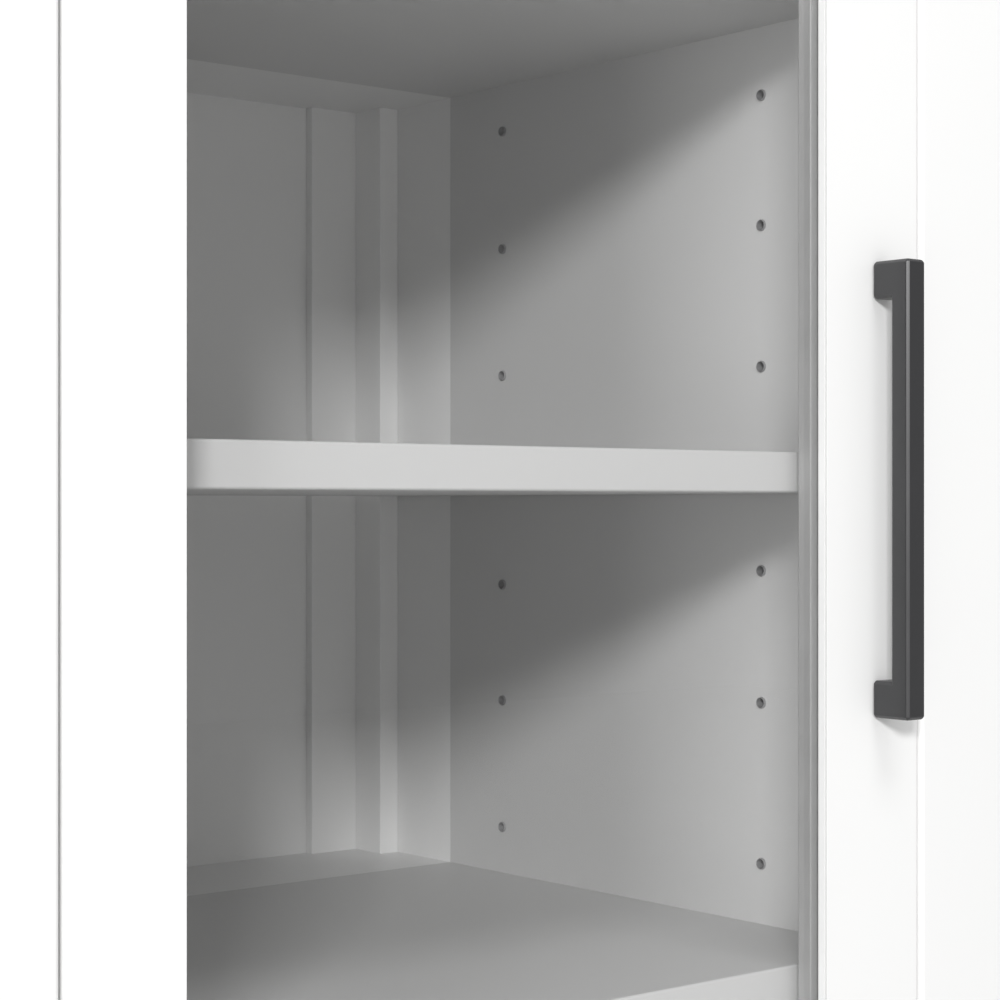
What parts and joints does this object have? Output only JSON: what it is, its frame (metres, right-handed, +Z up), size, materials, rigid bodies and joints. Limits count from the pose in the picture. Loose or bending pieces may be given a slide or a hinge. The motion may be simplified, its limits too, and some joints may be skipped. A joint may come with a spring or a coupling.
{
  "type": "glazed bookcase",
  "caption": "Tall white bookcase with an inset glass door on side hinges, black bow handle, fixed boards, pin-supported shelves and a framed back.",
  "frame": {"origin": "on the floor, in the middle of the box that holds the whole object, handle included", "axes": "+X to the right seen from the front, +Y towards the back, +Z up; the door faces -Y"},
  "size_m": [0.552, 0.4508, 1.481],
  "materials": {
    "white_lacquer": "satin white lacquer on fibreboard",
    "rear_lacquer": "slightly lighter white lacquer on fibreboard",
    "black_metal": "satin black coat",
    "white_metal": "white coat",
    "steel": "zinc plated",
    "clear_glass": "clear float glass"
  },
  "bodies": {
    "carcass": {"back_panel": "rear_lacquer", "back_stile_left": "rear_lacquer", "back_stile_right": "rear_lacquer", "bottom_board": "white_lacquer", "corner_batten_left": "rear_lacquer", "corner_batten_right": "rear_lacquer", "fixed_board_lower": "white_lacquer", "fixed_board_upper": "white_lacquer", "frame_bottom_rail": "white_lacquer", "frame_stile_left": "white_lacquer", "frame_stile_right": "white_lacquer", "frame_top_rail": "white_lacquer", "hinge_lower_case_leaf": "white_metal", "hinge_lower_pin": "white_metal", "hinge_middle_case_leaf": "white_metal", "hinge_middle_pin": "white_metal", "hinge_upper_case_leaf": "white_metal", "hinge_upper_pin": "white_metal", "inner_side_left": "white_lacquer", "inner_side_right": "white_lacquer", "magnetic_catch": "white_metal", "outer_side_left": "white_lacquer", "outer_side_right": "white_lacquer", "rear_plinth": "white_lacquer", "rear_rail_lower": "rear_lacquer", "rear_rail_upper": "rear_lacquer", "rear_strip_left": "rear_lacquer", "rear_strip_right": "rear_lacquer", "shelf_lower": "white_lacquer", "shelf_middle": "white_lacquer", "shelf_pin_lower_front_left": "steel", "shelf_pin_lower_front_right": "steel", "shelf_pin_lower_rear_left": "steel", "shelf_pin_lower_rear_right": "steel", "shelf_pin_middle_front_left": "steel", "shelf_pin_middle_front_right": "steel", "shelf_pin_middle_rear_left": "steel", "shelf_pin_middle_rear_right": "steel", "shelf_pin_upper_front_left": "steel", "shelf_pin_upper_front_right": "steel", "shelf_pin_upper_rear_left": "steel", "shelf_pin_upper_rear_right": "steel", "shelf_upper": "white_lacquer", "top_panel": "white_lacquer"},
    "door": {"catch_strike": "steel", "door_bottom_rail": "white_lacquer", "door_handle_stile": "white_lacquer", "door_hinge_stile": "white_lacquer", "door_top_rail": "white_lacquer", "glass_pane": "clear_glass", "glazing_bead_bottom": "white_lacquer", "glazing_bead_left": "white_lacquer", "glazing_bead_right": "white_lacquer", "glazing_bead_top": "white_lacquer", "handle": "black_metal", "handle_screw_lower": "steel", "handle_screw_upper": "steel", "hinge_lower_door_leaf": "white_metal", "hinge_middle_door_leaf": "white_metal", "hinge_upper_door_leaf": "white_metal"}
  },
  "joints": [
    {"name": "door_hinge", "type": "hinge", "parent": "carcass", "child": "door", "pos_m": [-0.21525, -0.2085, 0.75], "axis": [0, 0, -1], "range_deg": [0, 170]}
  ]
}
